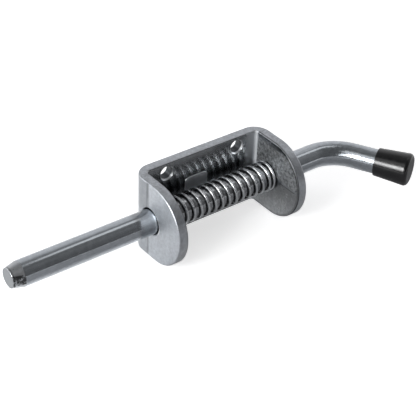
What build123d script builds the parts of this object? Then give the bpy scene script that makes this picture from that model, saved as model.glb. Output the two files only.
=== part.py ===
import os
from math import atan2, cos, degrees, radians, sin

from build123d import *

# Spring bolt for bolting to a flat surface, with the bolt shot out at rest.
# Millimetres. +X runs along the bolt towards its handle, +Y points into the surface that carries the
# bracket, +Z is up. The origin is the middle of the bracket's mounting face.

# Bracket: a thick steel strap bent into a U, with round-nosed ears
bracket_length = 96.5
bracket_height = 52.0
bracket_depth = 50.0
wall = 6.5
outer_bend_radius = 11.0
inner_bend_radius = 2.0
rim_radius = 0.9

# Rod: one round bar, tapered at the tip and bent away from the surface for a handle
rod_diameter = 16.0
rod_standoff = 19.8
tip_reach = 96.2
tip_taper_length = 7.3
tip_step = 1.85
tip_edge_radius = 0.4
handle_start = 29.7
handle_bend_radius = 27.5
handle_angle = 61.0
handle_straight = 15.6

# Bores in the ears, chamfered on their outer sides
bore_clearance = 0.6
bore_chamfer = 0.6

# Screw holes in the back plate, chamfered on the front side
hole_diameter = 8.4
hole_from_ear = 15.2
hole_from_edge = 7.0
hole_chamfer = 0.95

# Low plain pad on the front of the back plate
pad_width = 17.0
pad_height = 21.0
pad_rise = 0.7
pad_offset = -4.8
pad_corner_radius = 3.0
pad_edge_radius = 0.5

# Roll pin through the rod, which stops the bolt on the left ear and pushes the washer
pin_diameter = 5.0
pin_wall = 1.0
pin_slit = 0.8
pin_reach = 3.0
pin_chamfer = 0.4
stop_gap = 0.3

# Washer between the pin and the spring
washer_diameter = 24.0
washer_clearance = 0.5
washer_thickness = 2.0
washer_chamfer = 0.3
washer_gap = 0.2

# Compression spring with closed ends
wire_diameter = 1.8
spring_clearance = 0.15
active_turns = 13.3
closed_turns = 1
closed_gap = 0.1
seat_gap = 0.1
coil_phase = 229.0

# End cap pushed over the handle
cap_length = 22.6
cap_mouth_wall = 1.1
cap_flare = 1.7
cap_end_wall = 3.0
cap_end_round = 2.6
cap_mouth_round = 0.35

# Places worked out from the sizes above
rod_radius = rod_diameter / 2
bore_radius = rod_radius + bore_clearance
half_length = bracket_length / 2
ear_face = half_length - wall
nose_radius = bracket_height / 2
nose_y = nose_radius - bracket_depth
axis_y = -rod_standoff
tip_x = -half_length - tip_reach
bend_x = half_length + handle_start
hole_x = ear_face - hole_from_ear
hole_z = bracket_height / 2 - hole_from_edge
pin_x = -ear_face + stop_gap + pin_diameter / 2
washer_x = pin_x + pin_diameter / 2 + washer_gap
spring_left = washer_x + washer_thickness + seat_gap
spring_right = ear_face - seat_gap
rod_inside_cap = cap_length - cap_end_wall
cap_mouth_radius = rod_radius + cap_mouth_wall
cap_end_radius = cap_mouth_radius + cap_flare


def circles(part, radius):
    """The round edges of a part that have one radius."""
    found = part.edges().filter_by(GeomType.CIRCLE)
    return found.filter_by(lambda edge: abs(edge.radius - radius) < 1e-4)


# The U in plan, then both ears and the plate trimmed to their side outline
with BuildPart() as bracket:
    with BuildSketch(Plane.XY.offset(-bracket_height / 2)):
        with Locations((0, -bracket_depth / 2)):
            outline = Rectangle(bracket_length, bracket_depth)
        fillet(outline.vertices().group_by(Axis.Y)[-1], outer_bend_radius)
        with BuildSketch(mode=Mode.SUBTRACT):
            with Locations((0, -wall - bracket_depth / 2)):
                gap = Rectangle(2 * ear_face, bracket_depth)
            fillet(gap.vertices().group_by(Axis.Y)[-1], inner_bend_radius)
    extrude(amount=bracket_height)
    with BuildSketch(Plane.YZ.offset(-half_length)):
        with Locations((nose_y / 2, 0)):
            Rectangle(-nose_y, bracket_height)
        with Locations((nose_y, 0)):
            Circle(nose_radius)
    extrude(amount=bracket_length, mode=Mode.INTERSECT)
    seams = bracket.edges().filter_by(Axis.X)
    seams = seams.filter_by_position(Axis.Y, nose_y - 0.1, nose_y + 0.1)
    rims = bracket.edges().filter_by(Axis.Z, reverse=True) - seams
    fillet(rims, rim_radius)
    # One bore through both ears for the rod
    with Locations(Plane.YZ.offset(half_length)):
        with Locations((axis_y, 0)):
            Hole(bore_radius, depth=bracket_length)
    # Four screw holes in the corners of the plate
    with Locations(Plane.XZ.offset(wall)):
        with GridLocations(2 * hole_x, 2 * hole_z, 2, 2):
            Hole(hole_diameter / 2, depth=wall)
    bore_rims = circles(bracket, bore_radius).sort_by(Axis.X)
    chamfer([bore_rims[0], bore_rims[-1]], bore_chamfer)
    chamfer(circles(bracket, hole_diameter / 2).group_by(Axis.Y)[0], hole_chamfer)
    # The plain pad
    with BuildSketch(Plane.XZ.offset(wall)):
        with Locations((pad_offset, 0)):
            RectangleRounded(pad_width, pad_height, pad_corner_radius)
    extrude(amount=pad_rise)
    fillet(bracket.edges(Select.LAST).group_by(Axis.Y)[0], pad_edge_radius)
bracket.part.label = "bracket"

# The rod runs straight through both ears and then bends away from the surface
with BuildPart() as bolt:
    with BuildLine() as rod_path:
        shank = Line((tip_x + tip_taper_length, axis_y), (bend_x, axis_y))
        bend = JernArc(shank @ 1, shank % 1, handle_bend_radius, -handle_angle)
        handle = Line(bend @ 1, bend @ 1 + (handle_straight + rod_inside_cap) * (bend % 1))
    with BuildSketch(Plane(origin=shank @ 0, z_dir=shank % 0)):
        Circle(rod_radius)
    sweep(path=rod_path.line)
    with BuildSketch(Plane(origin=shank @ 0, z_dir=-(shank % 0))):
        Circle(rod_radius)
    tip_taper = degrees(atan2(tip_step, tip_taper_length))
    extrude(amount=tip_taper_length, taper=tip_taper)
    fillet(bolt.edges().group_by(Axis.X)[0], tip_edge_radius)
    # Cross hole for the roll pin
    with BuildSketch(Plane.XY.offset(-rod_radius)):
        with Locations((pin_x, axis_y)):
            Circle(pin_diameter / 2)
    extrude(amount=rod_diameter, mode=Mode.SUBTRACT)
bolt.part.label = "bolt"

# Roll pin: a rolled steel sleeve with a slit down one side
with BuildPart() as stop_pin:
    with BuildSketch(Plane.XY.offset(-rod_radius - pin_reach)):
        with Locations((pin_x, axis_y)):
            Circle(pin_diameter / 2)
            Circle(pin_diameter / 2 - pin_wall, mode=Mode.SUBTRACT)
        with Locations((pin_x + pin_diameter / 2, axis_y)):
            Rectangle(pin_diameter, pin_slit, mode=Mode.SUBTRACT)
    extrude(amount=rod_diameter + 2 * pin_reach)
    ends = stop_pin.edges().filter_by(GeomType.CIRCLE)
    chamfer(ends.filter_by(lambda edge: edge.radius > pin_diameter / 2 - 1e-4), pin_chamfer)
stop_pin.part.label = "stop_pin"

# Washer that carries the spring's push to the pin
with BuildPart() as washer:
    with BuildSketch(Plane.YZ.offset(washer_x)):
        with Locations((axis_y, 0)):
            Circle(washer_diameter / 2)
            Circle(rod_radius + washer_clearance, mode=Mode.SUBTRACT)
    extrude(amount=washer_thickness)
    chamfer(washer.edges().filter_by(GeomType.CIRCLE), washer_chamfer)
washer.part.label = "washer"

# Spring: a closed turn, the open turns and a closed turn, wound on in line with each other
coil_radius = rod_radius + spring_clearance + wire_diameter / 2
closed_pitch = wire_diameter + closed_gap
closed_length = closed_turns * closed_pitch
winding_start = spring_left + wire_diameter / 2
winding_end = spring_right - wire_diameter / 2
active_length = winding_end - winding_start - 2 * closed_length
active_pitch = active_length / active_turns


def wound_wire(start_x, turns_before, pitch, turns):
    """A stretch of the spring's wire that starts where the turns before it end."""
    angle = radians(coil_phase + 360 * turns_before)
    with BuildPart() as wire:
        with BuildLine():
            Helix(pitch, pitch * turns, coil_radius)
        with BuildSketch(Plane.XZ):
            with Locations((coil_radius, 0)):
                Circle(wire_diameter / 2)
        sweep(is_frenet=True)
    along_x = Plane(origin=(start_x, axis_y, 0), x_dir=(0, cos(angle), sin(angle)), z_dir=(1, 0, 0))
    return along_x.from_local_coords(wire.part)


with BuildPart() as spring:
    add(wound_wire(winding_start, 0, closed_pitch, closed_turns))
    add(wound_wire(winding_start + closed_length, closed_turns, active_pitch, active_turns))
    add(wound_wire(winding_end - closed_length, closed_turns + active_turns, closed_pitch, closed_turns))
spring.part.label = "spring"

# Moulded cap pushed over the end of the handle, wider towards its closed end
cap_mouth = bend @ 1 + handle_straight * (bend % 1)
cap_plane = Plane(origin=cap_mouth, x_dir=bend % 1, z_dir=(0, 0, 1))
with BuildPart() as end_cap:
    with BuildSketch(cap_plane):
        with BuildLine():
            Polyline(
                (0, rod_radius),
                (0, cap_mouth_radius),
                (cap_length, cap_end_radius),
                (cap_length, 0),
                (rod_inside_cap, 0),
                (rod_inside_cap, rod_radius),
                close=True,
            )
        make_face()
    revolve(axis=Axis(cap_mouth, bend % 1))
    fillet(circles(end_cap, cap_end_radius), cap_end_round)
    fillet(circles(end_cap, cap_mouth_radius), cap_mouth_round)
end_cap.part.label = "end_cap"

os.makedirs("parts", exist_ok=True)
for piece in (bracket, bolt, stop_pin, washer, spring, end_cap):
    export_step(piece.part, f"parts/{piece.part.label}.step")
    print(piece.part.label, len(piece.part.solids()), round(piece.part.volume), piece.part.is_valid)
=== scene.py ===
import math

import bmesh
import bpy
from mathutils import Euler, Matrix, Vector


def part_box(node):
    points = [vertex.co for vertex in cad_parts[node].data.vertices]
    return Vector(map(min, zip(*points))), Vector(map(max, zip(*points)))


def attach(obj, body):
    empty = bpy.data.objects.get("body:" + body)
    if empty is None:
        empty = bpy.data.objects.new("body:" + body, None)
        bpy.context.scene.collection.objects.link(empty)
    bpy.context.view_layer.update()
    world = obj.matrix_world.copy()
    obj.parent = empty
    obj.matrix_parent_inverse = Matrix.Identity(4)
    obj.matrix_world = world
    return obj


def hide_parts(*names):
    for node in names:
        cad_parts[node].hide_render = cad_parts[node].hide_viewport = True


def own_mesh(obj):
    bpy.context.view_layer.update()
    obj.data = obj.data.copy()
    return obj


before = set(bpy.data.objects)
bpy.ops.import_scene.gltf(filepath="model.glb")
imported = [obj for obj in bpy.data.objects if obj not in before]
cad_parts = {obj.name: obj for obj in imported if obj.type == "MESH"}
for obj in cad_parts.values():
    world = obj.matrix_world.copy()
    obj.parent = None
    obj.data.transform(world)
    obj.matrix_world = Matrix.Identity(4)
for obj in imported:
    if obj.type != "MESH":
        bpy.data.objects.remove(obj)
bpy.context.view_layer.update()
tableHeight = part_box("bracket")[0].z
print("frame loaded:", ", ".join(sorted(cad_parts)))


class Signal:
    # One output of a node, so that maths on it is written as maths

    def __init__(self, finish, socket):
        self.finish = finish
        self.socket = socket

    def maths(self, operation, first, second):
        return self.finish.node("ShaderNodeMath", {"operation": operation}, {0: first, 1: second})

    def __add__(self, other):
        return self.maths("ADD", self, other)

    def __sub__(self, other):
        return self.maths("SUBTRACT", self, other)

    def __rsub__(self, other):
        return self.maths("SUBTRACT", other, self)

    def __mul__(self, other):
        return self.maths("MULTIPLY", self, other)

    __radd__ = __add__
    __rmul__ = __mul__

    def unsigned(self):
        return self.maths("ABSOLUTE", self, 0)

    def atMost(self, limit):
        return self.maths("MINIMUM", self, limit)

    def lifted(self, least, gain):
        # From least, where the signal is 0, to gain more than that, where it is 1
        return least + self * gain


class Finish:
    # The nodes of one material, or of the world

    def __init__(self, owner):
        owner.use_nodes = True
        self.owner = owner
        self.tree = owner.node_tree
        self.tree.nodes.clear()

    def node(self, kind, settings, inputs, output=0):
        made = self.tree.nodes.new(kind)
        for name, value in settings.items():
            if name == "stops":
                ramp = made.color_ramp
                while len(ramp.elements) < len(value):
                    ramp.elements.new(1)
                for element, (place, colour) in zip(ramp.elements, value):
                    element.position = place
                    element.color = colour
            else:
                setattr(made, name, value)
        for name, value in inputs.items():
            if isinstance(value, Signal):
                self.tree.links.new(value.socket, made.inputs[name])
            else:
                made.inputs[name].default_value = value
        return Signal(self, made.outputs[output]) if made.outputs else None

    def places(self, scale):
        # Object coordinates in millimetres, times a scale for each axis
        spots = self.node("ShaderNodeTexCoord", {}, {}, "Object")
        return self.node("ShaderNodeMapping", {}, {"Vector": spots, "Scale": [1000 * s for s in scale]})

    def axes(self):
        # The place on the piece, in millimetres along X, Y and Z
        spots = self.places((1, 1, 1))
        return [self.node("ShaderNodeSeparateXYZ", {}, {0: spots}, axis) for axis in range(3)]

    def noise(self, size, detail=4, roughness=0.55, scale=(1, 1, 1)):
        # Noise whose patches are about size millimetres across, from 0 to 1 and mostly near 0.5. A scale
        # under 1 draws the patches out along that axis.
        return self.node("ShaderNodeTexNoise", {}, {"Vector": self.places(scale), "Scale": 1 / size,
                                                    "Detail": detail, "Roughness": roughness})

    def past(self, value, edge):
        # 0 up to the edge's first number, 1 from its second on, and smooth in between
        low, high = edge
        return self.node("ShaderNodeMapRange", {"interpolation_type": "SMOOTHSTEP"},
                         {"Value": value, "From Min": low, "From Max": high})

    def before(self, value, edge):
        return 1 - self.past(value, edge)

    def band(self, value, zone):
        # 1 from the zone's first number to its second, with ends as soft as its third outside them
        low, high, soft = zone
        return self.past(value, (low - soft, low)) * self.before(value, (high, high + soft))

    def mix(self, factor, first, second):
        return self.node("ShaderNodeMix", {"data_type": "RGBA"}, {0: factor, 6: first, 7: second}, 2)

    def layered(self, colour, layers):
        # Colours laid over each other, each with how much of it shows
        for share, layer in layers:
            colour = self.mix(share, colour, layer)
        return colour

    def bump(self, height):
        # A height in millimetres
        return self.node("ShaderNodeBump", {}, {"Strength": 1.0, "Distance": 0.001, "Height": height})

    def metal(self, colour, rough, height):
        shader = self.node("ShaderNodeBsdfPrincipled", {}, {"Base Color": colour, "Metallic": 1.0,
                                                            "Roughness": rough, "Normal": self.bump(height)})
        return self.surface(shader)

    def surface(self, shader):
        self.node("ShaderNodeOutputMaterial", {}, {"Surface": shader})
        return self.owner


def squareReach(first, second):
    # The square of the distance from a middle, from the offsets along two axes
    return first * first + second * second


# Sizes and places are in millimetres on the piece. Two numbers are an edge that fades from the first to
# the second, and three are a band and the width of its soft ends. Reaches from a hole's, a bore's or a
# nose's middle are squared. Shares say how much of a colour shows.
bracketLook = {
    "light": (0.63, 0.66, 0.695, 1), "dark": (0.41, 0.43, 0.46, 1), "rough": 0.38, "roughSpread": 0.10,
    "stainSize": 1.9, "stainShare": 0.4, "grainSize": 0.6, "grainShare": 0.35, "grainHeight": 0.010,
    "bandSize": 3.0, "bandScale": (0.3, 1, 0.12), "bandShare": 0.25, "contrast": (0.3, 0.7),
    "blotchSize": 2.2, "blotchContrast": (0.36, 0.64), "blotchHeight": 0.03,
    # Inner side: the plate, its pad and the bends at its ends. Painted light brightens the plate's right end,
    # the inner bends, the pad and its edges, and the low front rims; the plate is painted darker as shade
    "insideEars": (41.8, 41.95), "insidePlate": (-6.4, -6.0), "corner": (-8.6, -8.0),
    "plateLight": (0.36, 0.37, 0.38, 1), "plateDark": (0.25, 0.26, 0.27, 1), "plateRough": 0.17,
    "padTop": (-7.05, -6.85), "padEdge": (-7.12, -6.62, 0.05), "padRough": 0.40,
    "plateEnd": (29.0, 37.0), "bendAcross": (39.9, 41.74, 0.1), "bendOut": (-8.4, -6.55, 0.1),
    "paintedLight": (0.74, 0.76, 0.78, 1), "paintedLightRough": 0.60,
    "paintedLightShares": {"plateEnd": 0.6, "innerBend": 0.3, "pad": 0.5, "padEdge": 0.5, "lowRim": 0.6},
    "dullShares": {"plateEnd": 0.45, "innerBend": 0.35},
    # Inner sides of the ears: mill scale on the upper half; below it plainer steel, painted lighter as light
    # and given painted shade that deepens upwards
    "earTop": (24.6, 25.2), "earRough": 0.30,
    "scaleZone": (2.5, 20.9, 1.5), "scaleLight": (0.68, 0.70, 0.72, 1), "scaleDark": (0.22, 0.23, 0.24, 1),
    "scaleRough": 0.50, "plainBelow": (-1.5, 2.5), "plainShade": (-24.0, -2.0), "plainShadeShare": 0.7,
    "plainToneShare": (-0.15, 0.6), "plainBlotchShare": 0.35,
    "plainLight": (0.74, 0.76, 0.78, 1), "plainDark": (0.38, 0.39, 0.405, 1),
    # Sheared rims, and painted shade on a darker stretch of the outer side of each bend
    "rimAcross": (42.8, 47.5, 0.3), "rimOut": (-9.0, -7.0), "plateRim": (25.3, 25.8),
    "sheared": (0.20, 0.205, 0.21, 1), "shearedShare": 0.28,
    "lowRimOut": (-28.0, -22.0), "lowRimUp": (-6.0, 5.0),
    "flankShade": (0.20, 0.21, 0.225, 1), "flankOut": (-16.4, -5.0, 1.2), "flankAcross": (45.0, 46.5),
    "flankTop": (25.0, 25.6), "flankUp": (1.0, 8.0), "flankShare": (0.2, 0.35), "flankStreaks": (0.6, 0.8),
    # Dark marks and painted shade: the bending tool's line outside and a fine line inside are marks; the dark
    # along the inner rims and the ears' edges is painted shade
    "darkMarkAndShade": (0.05, 0.052, 0.055, 1), "outerFace": (48.0, 48.15), "faceRough": 0.52,
    "toolMark": (-17.6, -16.8, 1.6), "toolFace": (47.9, 48.1), "toolStreaks": (0.30, 0.60), "toolShare": 0.52,
    "earMidLine": (-0.1, 0.1, 0.2), "earMidLineReach": (-45.0, -33.0, 2.0), "earMidLineShare": 0.8,
    "rimLine": (41.95, 42.4, 0.15), "rimLineOut": (-9.0, -8.4), "rimLineShare": 0.85,
    "noseY": -24.0, "earEdge": (572.0, 606.0), "earEdgeUp": (-4.0, 4.0), "earEdgeShare": (0.35, 0.40),
    # Screw holes with dull walls, painted dark as shade, and bright chamfers; bores painted black inside as
    # shade, with a painted highlight on their outer edges
    "holeX": 26.55, "holeZ": 19.0, "holeReach": (27.5, 28.5),
    "drilledWallShade": (0.075, 0.08, 0.085, 1), "drilledDepth": (-5.5, -0.3, 0.05), "drilledRough": 0.40,
    "chamfer": (0.80, 0.82, 0.84, 1), "chamferDepth": (-6.42, -5.6, 0.05), "chamferRough": 0.20,
    "boreY": -19.8, "boreReach": (75.0, 77.0),
    "paintedBoreHighlight": (0.95, 0.96, 0.97, 1), "boreHighlightReach": (80.0, 97.0, 4.0), "boreHighlightFace": (47.4, 47.7),
    "boreHighlightOut": (-25.0, -21.0), "boreHighlightUp": (-6.0, -2.0),
}


def bracketZones(finish, look):
    # How far each spot is in each zone of the bracket, from 0 to 1
    x, y, z = finish.axes()
    sideways, upright = x.unsigned(), z.unsigned()
    inside = finish.before(sideways, look["insideEars"]) * finish.before(y, look["insidePlate"])
    plate = inside * finish.past(y, look["corner"])
    ear = inside * finish.before(y, look["corner"]) * finish.before(upright, look["earTop"])
    pastNose = (y - look["noseY"]).atMost(0)
    edgeShare = finish.past(z, look["earEdgeUp"]).lifted(*look["earEdgeShare"])
    rim = finish.band(sideways, look["rimAcross"])
    flankShade = finish.band(y, look["flankOut"]) * finish.past(sideways, look["flankAcross"])
    flankShare = finish.past(z, look["flankUp"]).lifted(*look["flankShare"])
    fromHole = squareReach(sideways - look["holeX"], upright - look["holeZ"])
    hole = finish.before(fromHole, look["holeReach"])
    fromBore = squareReach(y - look["boreY"], z)
    paintedBoreHighlight = finish.band(fromBore, look["boreHighlightReach"]) * finish.past(sideways, look["boreHighlightFace"])
    return {
        "plate": plate,
        "pad": plate * finish.before(y, look["padTop"]),
        "padEdge": plate * finish.band(y, look["padEdge"]),
        "plateEnd": plate * finish.past(x, look["plateEnd"]),
        "innerBend": finish.band(sideways, look["bendAcross"]) * finish.band(y, look["bendOut"]),
        "ear": ear,
        "scale": ear * finish.band(z, look["scaleZone"]),
        "plain": ear * finish.before(z, look["plainBelow"]),
        "plainShade": finish.past(z, look["plainShade"]),
        "earEdge": ear * finish.past(squareReach(pastNose, z), look["earEdge"]) * edgeShare,
        "earMidLine": ear * finish.band(z, look["earMidLine"]) * finish.band(y, look["earMidLineReach"]),
        "rimLine": finish.band(sideways, look["rimLine"]) * finish.before(y, look["rimLineOut"]),
        "sheared": rim * finish.before(y, look["rimOut"]) + finish.past(upright, look["plateRim"]),
        "lowRim": rim * finish.before(y, look["lowRimOut"]) * finish.before(z, look["lowRimUp"]),
        "flankShade": flankShade * finish.before(upright, look["flankTop"]) * flankShare,
        "outerFace": finish.past(sideways, look["outerFace"]),
        "toolMark": finish.band(y, look["toolMark"]) * finish.past(sideways, look["toolFace"]),
        "drilledWallShade": hole * finish.band(y, look["drilledDepth"]),
        "chamfer": hole * finish.band(y, look["chamferDepth"]),
        "paintedBoreHighlight": paintedBoreHighlight * finish.before(y, look["boreHighlightOut"]) * finish.past(z, look["boreHighlightUp"]),
        "bore": finish.before(fromBore, look["boreReach"]),
    }


def bracketSteel(name, look):
    # Satin steel outside, smoother on the back plate and painted darker there as shade, scaled and marked
    # inside the ears, with painted shade and painted light in places
    finish = Finish(bpy.data.materials.new(name))
    zones = bracketZones(finish, look)
    stain = finish.noise(look["stainSize"], detail=5)
    bands = finish.noise(look["bandSize"], detail=2, scale=look["bandScale"])
    grain = finish.noise(look["grainSize"], detail=3)
    blotches = finish.noise(look["blotchSize"], detail=6, roughness=0.7)
    blotches = finish.past(blotches, look["blotchContrast"])
    tone = finish.past(stain, look["contrast"]) * look["stainShare"]
    tone = tone + finish.past(bands, look["contrast"]) * look["bandShare"]
    tone = tone + finish.past(grain, look["contrast"]) * look["grainShare"]

    # Painted light and painted shade: the plain lower part of the ears is lighter, and darker towards its top
    shade = zones["plainShade"] * look["plainShadeShare"] + tone.lifted(*look["plainToneShare"])
    plain = finish.mix(shade, look["plainLight"], look["plainDark"])
    flatPlate = zones["plate"] - zones["pad"]
    # Painted light: brighter steel on the plate's right end, the inner bends, the pad and its edges and the
    # low front rims
    paintedLight = sum(zones[zone] * share for zone, share in look["paintedLightShares"].items())
    toolMark = zones["toolMark"] * finish.past(bands, look["toolStreaks"])
    # Dark marks, with painted shade along the inner rims and the ears' edges
    marksAndShade = toolMark * look["toolShare"] + zones["earMidLine"] * look["earMidLineShare"]
    marksAndShade = marksAndShade + zones["rimLine"] * look["rimLineShare"] + zones["earEdge"]
    colour = finish.layered(finish.mix(tone, look["dark"], look["light"]), [
        (zones["scale"], finish.mix(blotches, look["scaleDark"], look["scaleLight"])),
        (zones["plain"], finish.mix(blotches * look["plainBlotchShare"], plain, look["scaleDark"])),
        # Painted shade: the back plate darker, where it lies between the ears and behind the spring
        (flatPlate, finish.mix(tone, look["plateDark"], look["plateLight"])),
        (paintedLight, look["paintedLight"]),
        (zones["sheared"] * blotches * look["shearedShare"], look["sheared"]),
        # Painted shade on the outer side of each bend, deeper towards the top
        (zones["flankShade"] * bands.lifted(*look["flankStreaks"]), look["flankShade"]),
        (marksAndShade, look["darkMarkAndShade"]),
        (zones["chamfer"], look["chamfer"]),
        # Painted highlight on the front upper part of each bore's outer edge
        (zones["paintedBoreHighlight"], look["paintedBoreHighlight"]),
        # Painted shade: the bore walls black, for the gap around the rod
        (zones["bore"], look["darkMarkAndShade"]),
        # Painted shade on the walls of the screw holes
        (zones["drilledWallShade"], look["drilledWallShade"]),
    ])

    dull = sum(zones[zone] * share for zone, share in look["dullShares"].items())
    rough = look["rough"] + (tone - 0.5) * look["roughSpread"]
    for zone, high, low in (
        (flatPlate, "plateRough", "rough"), (zones["pad"], "padRough", "rough"),
        (zones["outerFace"], "faceRough", "rough"), (dull, "paintedLightRough", "plateRough"),
        (zones["ear"], "earRough", "rough"), (zones["scale"], "scaleRough", "earRough"),
        (zones["drilledWallShade"], "drilledRough", "rough"), (zones["paintedBoreHighlight"], "rough", "faceRough"),
        (zones["chamfer"], "chamferRough", "plateRough"),
    ):
        rough = rough + zone * (look[high] - look[low])
    height = grain * look["grainHeight"] * (1 - zones["plate"])
    height = height + blotches * zones["scale"] * look["blotchHeight"]
    return finish.metal(colour, rough, height)


rodLook = {
    "light": (0.52, 0.555, 0.59, 1), "dark": (0.42, 0.45, 0.48, 1), "rough": 0.13, "roughSpread": 0.06,
    "stainSize": 3.5, "stainContrast": (0.35, 0.65), "stainShare": 0.5, "stainHeight": 0.015,
    "lineSize": 0.6, "lineScale": (0.06, 1, 1), "lineContrast": (0.3, 0.7), "lineShare": 0.5,
    "lineHeight": 0.014,
    # Scuffs inside the spring, where the rod is also painted darker as shade under the coils, and painted
    # shade on the stretch just outside the left ear
    "wornAndShaded": (-34.0, 36.0, 8.0), "wornRough": 0.17, "scuffSize": 2.0, "scuffContrast": (0.38, 0.62),
    "scuffLight": (0.44, 0.455, 0.47, 1), "scuffDark": (0.25, 0.255, 0.26, 1), "scuffHeight": 0.003,
    "nearEarShadeZone": (-59.0, -52.0, 4.0), "nearEarShade": (0.24, 0.245, 0.25, 1), "nearEarShadeShare": (0.3, 0.5),
    # The handle, a little duller than the rod, and dented at the bend
    "handle": (80.0, 92.0), "handleRough": 0.20,
    "bent": (86.0, 104.0, 6.0), "dentSize": 3.6, "dentHeight": 0.16,
    # The tip: its flat face, and black patches and a ring on its taper, which is painted lighter as light
    "faceEdge": (-144.43, -144.33), "face": (0.28, 0.295, 0.31, 1), "faceRough": 0.40,
    "taperEnd": (-137.35, -136.95), "taper": (0.58, 0.59, 0.60, 1), "taperShare": (0.35, 0.5),
    "taperRough": 0.30, "black": (0.055, 0.057, 0.060, 1),
    "patchContrast": (0.10, 0.60), "patchZone": (-2.0, 3.5, 0.8), "patchShare": 0.95,
    "patchBack": (-23.0, -18.0), "patchBackShare": (1, -0.85),
    "ring": (-143.85, -143.25, 0.2), "ringShare": 0.7,
}


def barSteel(name, look):
    # Drawn bar with fine lines along it
    finish = Finish(bpy.data.materials.new(name))
    x, y, z = finish.axes()
    stain = finish.noise(look["stainSize"], detail=5)
    lines = finish.noise(look["lineSize"], detail=3, scale=look["lineScale"])
    scuffs = finish.noise(look["scuffSize"], detail=6, roughness=0.7)
    scuffs = finish.past(scuffs, look["scuffContrast"])
    dents = finish.noise(look["dentSize"], detail=3)
    tone = finish.past(stain, look["stainContrast"]) * look["stainShare"]
    tone = tone + finish.past(lines, look["lineContrast"]) * look["lineShare"]
    wornAndShaded = finish.band(x, look["wornAndShaded"])
    face = finish.before(x, look["faceEdge"])
    taper = finish.before(x, look["taperEnd"]) * (1 - face)
    patches = finish.past(scuffs, look["patchContrast"]) * finish.band(z, look["patchZone"])
    patches = patches * finish.past(y, look["patchBack"]).lifted(*look["patchBackShare"])
    blackened = patches * look["patchShare"] + finish.band(x, look["ring"]) * scuffs * look["ringShare"]
    colour = finish.layered(finish.mix(tone, look["dark"], look["light"]), [
        # Scuffs inside the spring, with the rod painted darker there as shade under the coils
        (wornAndShaded, finish.mix(scuffs, look["scuffDark"], look["scuffLight"])),
        # Painted shade on the rod just outside the left ear
        (finish.band(x, look["nearEarShadeZone"]) * tone.lifted(*look["nearEarShadeShare"]), look["nearEarShade"]),
        # Painted light: the taper lighter than the rod
        (taper * scuffs.lifted(*look["taperShare"]), look["taper"]),
        (taper * blackened, look["black"]),
        (face, look["face"]),
    ])
    rough = look["rough"] + (tone - 0.5) * look["roughSpread"]
    handle = finish.past(x, look["handle"])
    for zone, finishRough in ((wornAndShaded, "wornRough"), (face, "faceRough"), (taper, "taperRough"),
                              (handle, "handleRough")):
        rough = rough + zone * (look[finishRough] - look["rough"])
    height = stain * look["stainHeight"] + lines * look["lineHeight"]
    height = height + scuffs * (wornAndShaded + taper) * look["scuffHeight"]
    height = height + dents * finish.band(x, look["bent"]) * look["dentHeight"]
    return finish.metal(colour, rough, height)


springLook = {
    "light": (0.74, 0.76, 0.78, 1), "dark": (0.54, 0.555, 0.57, 1), "rough": 0.20, "roughSpread": 0.03,
    "stainSize": 2.0, "stainShare": 0.5, "stainHeight": 0.0,
    "grainSize": 0.5, "grainShare": 0.5, "grainHeight": 0.001, "contrast": (0.3, 0.7),
    "rodSideShade": (0.05, 0.05, 0.052, 1), "axisY": -19.8, "rodSideShadeReach": (74.0, 84.0),
}
smallLook = {
    "light": (0.50, 0.50, 0.51, 1), "dark": (0.36, 0.36, 0.37, 1), "rough": 0.34, "roughSpread": 0.1,
    "stainSize": 1.6, "stainShare": 0.5, "stainHeight": 0.01,
    "grainSize": 0.4, "grainShare": 0.5, "grainHeight": 0.006, "contrast": (0.3, 0.7),
}


def steel(name, look):
    # Bare steel with soft stains and fine grain, for the roll pin, the washer and the wire
    finish = Finish(bpy.data.materials.new(name))
    stain = finish.noise(look["stainSize"], detail=5)
    grain = finish.noise(look["grainSize"], detail=3)
    tone = finish.past(stain, look["contrast"]) * look["stainShare"]
    tone = tone + finish.past(grain, look["contrast"]) * look["grainShare"]
    colour = finish.mix(tone, look["dark"], look["light"])
    # Painted shade: the wire darkened on its side towards the rod
    if "rodSideShade" in look:  # on the wire's side towards the rod
        x, y, z = finish.axes()
        fromRod = squareReach(y - look["axisY"], z)
        colour = finish.mix(finish.before(fromRod, look["rodSideShadeReach"]), colour, look["rodSideShade"])
    rough = look["rough"] + (tone - 0.5) * look["roughSpread"]
    return finish.metal(colour, rough, stain * look["stainHeight"] + grain * look["grainHeight"])


capLook = {
    "light": (0.003, 0.003, 0.0034, 1), "dark": (0.001, 0.001, 0.0012, 1), "rough": 0.22,
    "roughSpread": 0.08, "shine": 0.72, "bloomSize": 3.0, "bloomContrast": (0.35, 0.65),
    "skinSize": 0.5, "skinHeight": 0.022,
}


def capPlastic(name, look):
    # Black plastic with a faint bloom and a very fine skin
    finish = Finish(bpy.data.materials.new(name))
    bloom = finish.past(finish.noise(look["bloomSize"]), look["bloomContrast"])
    skin = finish.noise(look["skinSize"], detail=2)
    colour = finish.mix(bloom, look["dark"], look["light"])
    rough = look["rough"] + (bloom - 0.5) * look["roughSpread"]
    shader = finish.node("ShaderNodeBsdfPrincipled", {}, {
        "Base Color": colour, "Roughness": rough, "Specular IOR Level": look["shine"],
        "Normal": finish.bump(skin * look["skinHeight"])})
    return finish.surface(shader)


finishes = {
    "bracket": bracketSteel("tumbledSteel", bracketLook),
    "bolt": barSteel("drawnBarSteel", rodLook),
    "stop_pin": steel("rollPinSteel", smallLook),
    "washer": steel("washerSteel", smallLook),
    "spring": steel("springWireSteel", springLook),
    "end_cap": capPlastic("capPlastic", capLook),
}
for nodeName, material in finishes.items():
    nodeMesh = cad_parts[nodeName].data
    nodeMesh.materials.clear()
    nodeMesh.materials.append(material)
print("finishes on the fixed nodes:", len(finishes))


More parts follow.
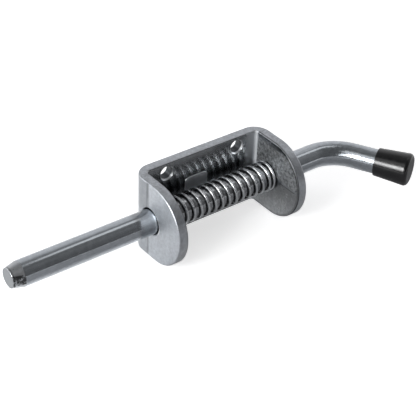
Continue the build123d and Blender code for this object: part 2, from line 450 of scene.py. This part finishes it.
# The spring is wound again from a round wire, finer than the fixed node.
# Lengths are in metres and the angle in degrees.
springPlan = {
    "wire": 0.0018, "wireSides": 20, "stepsPerTurn": 60, "firstAngle": 229.0,
    "closedTurns": 1, "closedPitch": 0.0019, "openTurns": 13.3, "travel": 0.040,
}


def windSpring(plan):
    low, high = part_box("spring")
    radius = (high.z - low.z - plan["wire"]) / 2
    axisY = (low.y + high.y) / 2
    closedLength = plan["closedTurns"] * plan["closedPitch"]
    openLength = high.x - low.x - plan["wire"] - 2 * closedLength
    bm = bmesh.new()
    # One ring of the wire, stood up, moved out to the coil's radius and turned to the first angle
    ring = bmesh.ops.create_circle(bm, segments=plan["wireSides"], radius=plan["wire"] / 2)["verts"]
    standUp = Matrix.Rotation(math.radians(90), 4, "X")
    bmesh.ops.transform(bm, matrix=standUp, verts=ring)
    start = Matrix.Translation((low.x + plan["wire"] / 2, axisY, 0))
    turnIn = Matrix.Rotation(math.radians(plan["firstAngle"]), 4, "X")
    alongX = Matrix(((0, 0, 1, 0), (1, 0, 0, 0), (0, 1, 0, 0), (0, 0, 0, 1)))
    out = Matrix.Translation((radius, 0, 0))
    bmesh.ops.transform(bm, matrix=start @ turnIn @ alongX @ out, verts=ring)
    last = list(bm.verts) + list(bm.edges)
    firstRing = list(bm.edges)
    closedEnd = (plan["closedTurns"], closedLength)
    for turns, length in (closedEnd, (plan["openTurns"], openLength), closedEnd):
        steps = round(turns * plan["stepsPerTurn"])
        wound = bmesh.ops.spin(bm, geom=last, cent=(0, axisY, 0), axis=(1, 0, 0), steps=steps,
                               dvec=(length / steps, 0, 0), angle=math.tau * turns)
        last = wound["geom_last"]
    lastRing = [edge for edge in last if isinstance(edge, bmesh.types.BMEdge)]
    bmesh.ops.edgeloop_fill(bm, edges=firstRing)
    bmesh.ops.edgeloop_fill(bm, edges=lastRing)
    bmesh.ops.recalc_face_normals(bm, faces=bm.faces)
    for face in bm.faces:
        face.smooth = len(face.verts) == 4  # the two ends stay flat
    mesh = bpy.data.meshes.new("woundSpring")
    bm.to_mesh(mesh)
    bm.free()
    spring = bpy.data.objects.new("woundSpring", mesh)
    bpy.context.scene.collection.objects.link(spring)
    mesh.materials.append(finishes["spring"])
    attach(spring, "bracket_body")
    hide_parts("spring")
    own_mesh(spring)
    return spring


woundSpring = windSpring(springPlan)
print("spring wound:", len(woundSpring.data.polygons), "faces")


# Studio: a white table, a room that is lighter behind the object, and soft lamps. A grey card lies in
# front and partly under the object, seen only in reflections, and gives the steel its darker side.
# Sizes and distances are in metres, headings and heights of the lamps in degrees.
tableLook = {"colour": (0.80, 0.80, 0.80, 1), "seenGlow": 0.62, "mirroredGlow": 0.40, "size": 6.0}
cardLook = {
    "colour": (0.42, 0.42, 0.43, 1), "left": -0.20, "right": 0.26, "near": 0.0, "far": -0.60, "lift": 0.0001,
    # Millimetres: the card fades towards the back and the right, and goes on more faintly under the spring,
    # the right ear and the rod, where it stands in for the shade on the table below them
    "backEdge": (-52.0, -14.0), "rightEdge": (170.0, 250.0),
    "underAcross": (-22.0, 78.0, 8.0), "underBack": (-9.0, -2.0), "underShare": 0.55,
}
roomLook = {
    "behind": (0.64, 0.77, 0.0), "blueness": 1.02,
    "levels": [(0.0, 0.12), (0.31, 0.14), (0.5, 0.24), (0.9, 0.72), (1.0, 0.80)],
    "ceiling": (0.14, 0.14, 0.14, 1), "ceilingEdge": (0.72, 0.84), "ceilingShare": 0.6,
}
lamps = {
    "leftSoftbox": {"heading": -106, "height": 26, "distance": 0.90, "size": (0.33, 0.33), "level": 12.0},
    "leftStrip": {"heading": -86, "height": 30, "distance": 1.40, "size": (4.4, 0.42), "level": 3.2},
    "leftGlow": {"heading": -98, "height": 55, "distance": 1.20, "size": (1.2, 0.42), "level": 0.75},
    "overheadSoftbox": {"heading": 92, "height": 60, "distance": 1.20, "size": (0.28, 0.56), "level": 0.7},
}


def flatSheet(name, low, high, height, material):
    # A sheet of one metre each way, then drawn out to its two corners
    bm = bmesh.new()
    bmesh.ops.create_grid(bm, x_segments=1, y_segments=1, size=0.5)
    bmesh.ops.scale(bm, vec=(high[0] - low[0], high[1] - low[1], 1), verts=bm.verts)
    bmesh.ops.translate(bm, vec=((low[0] + high[0]) / 2, (low[1] + high[1]) / 2, height), verts=bm.verts)
    mesh = bpy.data.meshes.new(name)
    bm.to_mesh(mesh)
    bm.free()
    mesh.materials.append(material)
    sheet = bpy.data.objects.new(name, mesh)
    bpy.context.scene.collection.objects.link(sheet)
    return sheet


def layTable(look):
    finish = Finish(bpy.data.materials.new("tablePaper"))
    paper = finish.node("ShaderNodeBsdfDiffuse", {}, {"Color": look["colour"]})
    seen = finish.node("ShaderNodeLightPath", {}, {}, "Is Camera Ray")
    mirrored = finish.node("ShaderNodeLightPath", {}, {}, "Is Glossy Ray")
    through = finish.node("ShaderNodeLightPath", {}, {}, "Is Transmission Ray")
    level = seen * look["seenGlow"] + (mirrored + through) * look["mirroredGlow"]
    glow = finish.node("ShaderNodeEmission", {}, {"Strength": level})
    glowing = finish.node("ShaderNodeAddShader", {}, {0: paper, 1: glow})
    # From below the table is clear, so that the underside can be looked at
    below = finish.node("ShaderNodeNewGeometry", {}, {}, "Backfacing")
    clear = finish.node("ShaderNodeBsdfTransparent", {}, {})
    sheet = finish.node("ShaderNodeMixShader", {}, {0: below, 1: glowing, 2: clear})
    half = look["size"] / 2
    flatSheet("table", (-half, -half), (half, half), tableHeight, finish.surface(sheet))


def layCard(look):
    finish = Finish(bpy.data.materials.new("greyCard"))
    grey = finish.node("ShaderNodeBsdfDiffuse", {}, {"Color": look["colour"]})
    clear = finish.node("ShaderNodeBsdfTransparent", {}, {})
    x, y, z = finish.axes()
    # Under the spring, the right ear and the rod the card stands in for painted shade on the table below them
    under = finish.band(x, look["underAcross"]) * finish.before(y, look["underBack"]) * look["underShare"]
    laid = 1 - finish.past(y, look["backEdge"]) * (1 - under)
    shader = finish.node("ShaderNodeMixShader", {}, {
        0: laid * finish.before(x, look["rightEdge"]), 1: clear, 2: grey})
    low, high = (look["left"], look["far"]), (look["right"], look["near"])
    card = flatSheet("greyCard", low, high, tableHeight + look["lift"], finish.surface(shader))
    card.visible_camera = False
    card.visible_diffuse = False
    card.visible_shadow = False


def lightRoom(look):
    world = bpy.data.worlds.new("studioRoom")
    finish = Finish(world)
    direction = finish.node("ShaderNodeTexCoord", {}, {}, "Generated")
    facing = finish.node("ShaderNodeVectorMath", {"operation": "DOT_PRODUCT"},
                         {0: direction, 1: look["behind"]}, 1)
    greys = [(place, (level, level, level * look["blueness"], 1)) for place, level in look["levels"]]
    walls = finish.node("ShaderNodeValToRGB", {"stops": greys}, {"Fac": facing * 0.5 + 0.5})
    height = finish.node("ShaderNodeSeparateXYZ", {}, {0: direction}, 2)
    overhead = finish.past(height, look["ceilingEdge"]) * look["ceilingShare"]
    room = finish.node("ShaderNodeBackground", {}, {"Color": finish.mix(overhead, walls, look["ceiling"])})
    finish.node("ShaderNodeOutputWorld", {}, {"Surface": room})
    bpy.context.scene.world = world


def hangLamp(name, plan):
    light = bpy.data.lights.new(name, "AREA")
    light.shape = "RECTANGLE"
    light.size, light.size_y = plan["size"]
    light.energy = plan["level"] * math.pi * light.size * light.size_y  # level: how bright its face is
    lamp = bpy.data.objects.new(name, light)
    heading, height = math.radians(plan["heading"]), math.radians(plan["height"])
    level = math.cos(height)
    away = Vector((math.sin(heading) * level, math.cos(heading) * level, math.sin(height)))
    aimed = away.to_track_quat("Z", "Y").to_matrix().to_4x4()
    lamp.matrix_world = Matrix.Translation(away * plan["distance"]) @ aimed
    bpy.context.scene.collection.objects.link(lamp)


layTable(tableLook)
layCard(cardLook)
lightRoom(roomLook)
for lampName, lampPlan in lamps.items():
    hangLamp(lampName, lampPlan)
print("studio set:", len(lamps), "lamps")


# Camera, found by fitting the outlines in the photograph's frame of 416 by 416
cameraPlan = {
    "spot": (-0.40923, -0.52930, 0.44730), "heading": 0.671, "tilt": 0.610, "roll": 0.042,
    "focalPixels": 1293.3, "framePixels": 416, "sensor": 36, "nearest": 0.01,
}


def placeCamera(plan):
    lens = bpy.data.cameras.new("camera")
    lens.sensor_width = plan["sensor"]
    lens.lens = lens.sensor_width * plan["focalPixels"] / plan["framePixels"]
    lens.clip_start = plan["nearest"]
    camera = bpy.data.objects.new("camera", lens)
    facing = Euler((math.pi / 2 - plan["tilt"], 0, -plan["heading"])).to_matrix().to_4x4()
    rolled = Matrix.Rotation(plan["roll"], 4, "Z")
    camera.matrix_world = Matrix.Translation(plan["spot"]) @ facing @ rolled
    bpy.context.scene.collection.objects.link(camera)
    bpy.context.scene.camera = camera


placeCamera(cameraPlan)
bpy.context.scene.view_settings.view_transform = "Standard"
print("camera placed")
